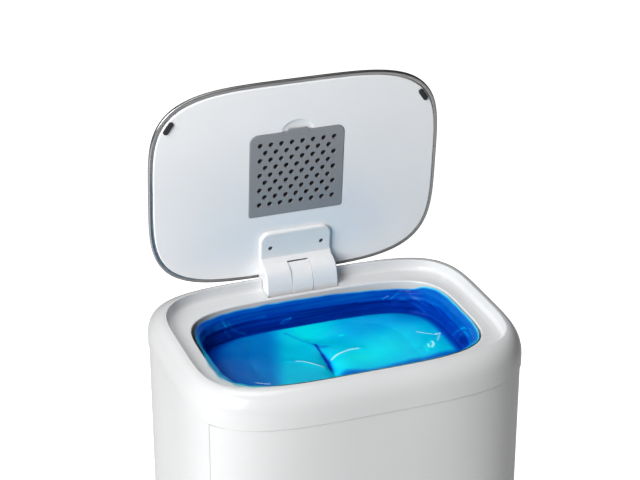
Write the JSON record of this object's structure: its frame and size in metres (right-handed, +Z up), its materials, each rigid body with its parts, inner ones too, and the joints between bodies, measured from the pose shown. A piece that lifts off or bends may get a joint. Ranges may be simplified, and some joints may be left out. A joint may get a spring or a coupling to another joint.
{
  "type": "pedal nappy bin",
  "caption": "Tall pedal nappy bin with a hinged steel lid, a perforated filter cover, a pinched film liner and a bottom-hinged front door.",
  "frame": {"origin": "centre of the footprint, pedal included, on the floor under the feet", "axes": "+Z up, front with the pedal and the door faces -Y, +X to the right seen from behind the origin looking along +Y; the lid is open at rest"},
  "size_m": [0.3084, 0.2726, 0.7737],
  "materials": {
    "white_plastic": "smooth satin white moulding",
    "grey_plastic": "fine matt grey moulding",
    "brushed_steel": "brushed stainless sheet",
    "carbon": "matt granular carbon pad",
    "black_rubber": "matt soft rubber",
    "blue_film": "thin shiny blue film"
  },
  "bodies": {
    "bin": {"top_collar": "white_plastic", "jaw_frame": "white_plastic", "housing": "white_plastic", "base": "white_plastic", "inner_floor": "white_plastic", "rod_guide_low": "grey_plastic", "rod_guide_middle": "grey_plastic", "rod_guide_high": "grey_plastic", "film_cassette": "grey_plastic", "hinge_pin_left": "brushed_steel", "hinge_pin_right": "brushed_steel", "jaw_pin_left": "brushed_steel", "jaw_pin_right": "brushed_steel", "jaw_spring_left": "brushed_steel", "jaw_spring_right": "brushed_steel", "door_pin_left": "brushed_steel", "door_pin_right": "brushed_steel", "frame_screw_front_left": "brushed_steel", "frame_screw_front_right": "brushed_steel", "frame_screw_back_left": "brushed_steel", "frame_screw_back_right": "brushed_steel", "catch_plate": "brushed_steel", "pedal_axle": "brushed_steel", "rubber_foot_front_left": "black_rubber", "rubber_foot_front_right": "black_rubber", "rubber_foot_back_left": "black_rubber", "rubber_foot_back_right": "black_rubber", "film_liner": "blue_film", "film_bag": "blue_film"},
    "lid": {"lid_skin": "brushed_steel", "lid_panel": "white_plastic", "filter_cover": "grey_plastic", "carbon_filter": "carbon", "lid_bumper_left": "black_rubber", "lid_bumper_right": "black_rubber", "hinge_bracket": "white_plastic", "hinge_screw_left": "brushed_steel", "hinge_screw_right": "brushed_steel", "hinge_cover": "white_plastic"},
    "lifter": {"push_rod": "brushed_steel", "lift_yoke": "grey_plastic"},
    "pedal_lever": {"pedal": "grey_plastic", "pedal_pad": "black_rubber"},
    "door": {"front_door": "white_plastic", "door_catch": "grey_plastic"},
    "left_jaw": {"jaw_left": "grey_plastic"},
    "right_jaw": {"jaw_right": "grey_plastic"}
  },
  "joints": [
    {"name": "lid_hinge", "type": "hinge", "parent": "bin", "child": "lid", "pos_m": [0, 0.12095, 0.573], "axis": [1, 0, 0], "range_deg": [0, 84.6]},
    {"name": "lift_slide", "type": "slide", "parent": "bin", "child": "lifter", "axis": [0, 0, 1], "range_m": [-0.0128, 0]},
    {"name": "pedal_pivot", "type": "hinge", "parent": "bin", "child": "pedal_lever", "pos_m": [0, 0.03165, 0.03], "axis": [1, 0, 0], "range_deg": [-7.8, 0]},
    {"name": "door_hinge", "type": "hinge", "parent": "bin", "child": "door", "pos_m": [0, -0.08695, 0.1018], "axis": [1, 0, 0], "range_deg": [0, 40]},
    {"name": "left_jaw_hinge", "type": "hinge", "parent": "bin", "child": "left_jaw", "pos_m": [-0.098, 0.01745, 0.5216], "axis": [0, 1, 0], "range_deg": [0, 40], "stiffness_Nm_per_rad": 0.15, "springref_deg": -28.65},
    {"name": "right_jaw_hinge", "type": "hinge", "parent": "bin", "child": "right_jaw", "pos_m": [0.098, 0.01745, 0.5216], "axis": [0, -1, 0], "range_deg": [0, 40], "stiffness_Nm_per_rad": 0.15, "springref_deg": -28.65}
  ],
  "couplings": [
    {"joint": "lift_slide", "follows": "lid_hinge", "m_per_rad": -0.0086602},
    {"joint": "pedal_pivot", "follows": "lid_hinge", "ratio": -0.091391}
  ]
}
